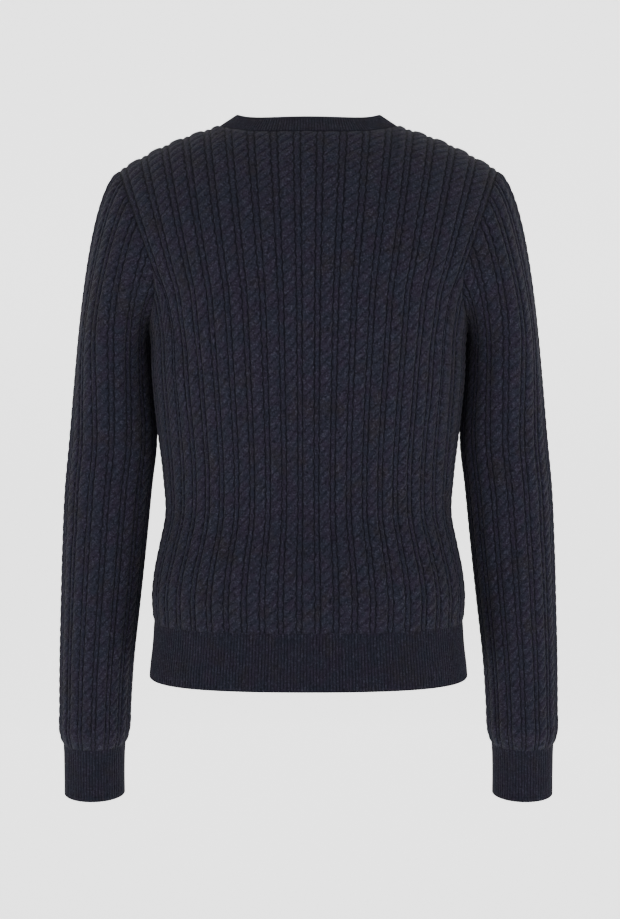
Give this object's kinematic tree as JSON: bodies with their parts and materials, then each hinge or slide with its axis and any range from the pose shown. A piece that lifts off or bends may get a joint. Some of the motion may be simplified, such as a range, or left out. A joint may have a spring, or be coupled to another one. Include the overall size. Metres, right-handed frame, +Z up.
{
  "type": "cable-knit cardigan",
  "caption": "Crew-neck cable-knit cardigan with a buttoned front, long sleeves and fine ribbed hem, cuffs and neckband, filled out as if worn.",
  "frame": {"origin": "middle of the neck at the height of the shoulders' high points, where the wearer's shoulders hold the garment", "axes": "+Z up the wearer's body, +X to the wearer's left, the buttoned front faces -Y"},
  "size_m": [0.4972, 0.2331, 0.6778],
  "materials": {
    "cable_knit": "matte, heathered dark navy wool knit",
    "fine_ribbing": "matte, heathered dark navy wool rib",
    "button_plastic": "satin"
  },
  "bodies": {
    "root": {"back": "cable_knit", "button_1": "button_plastic", "button_2": "button_plastic", "button_3": "button_plastic", "button_4": "button_plastic", "button_5": "button_plastic", "button_6": "button_plastic", "button_7": "button_plastic", "button_band_left": "fine_ribbing", "button_band_right": "fine_ribbing", "cuff_left": "fine_ribbing", "cuff_right": "fine_ribbing", "front_left": "cable_knit", "front_right": "cable_knit", "hem_rib_back": "fine_ribbing", "hem_rib_front_left": "fine_ribbing", "hem_rib_front_right": "fine_ribbing", "neckband": "fine_ribbing", "sleeve_left": "cable_knit", "sleeve_right": "cable_knit"}
  },
  "joints": []
}
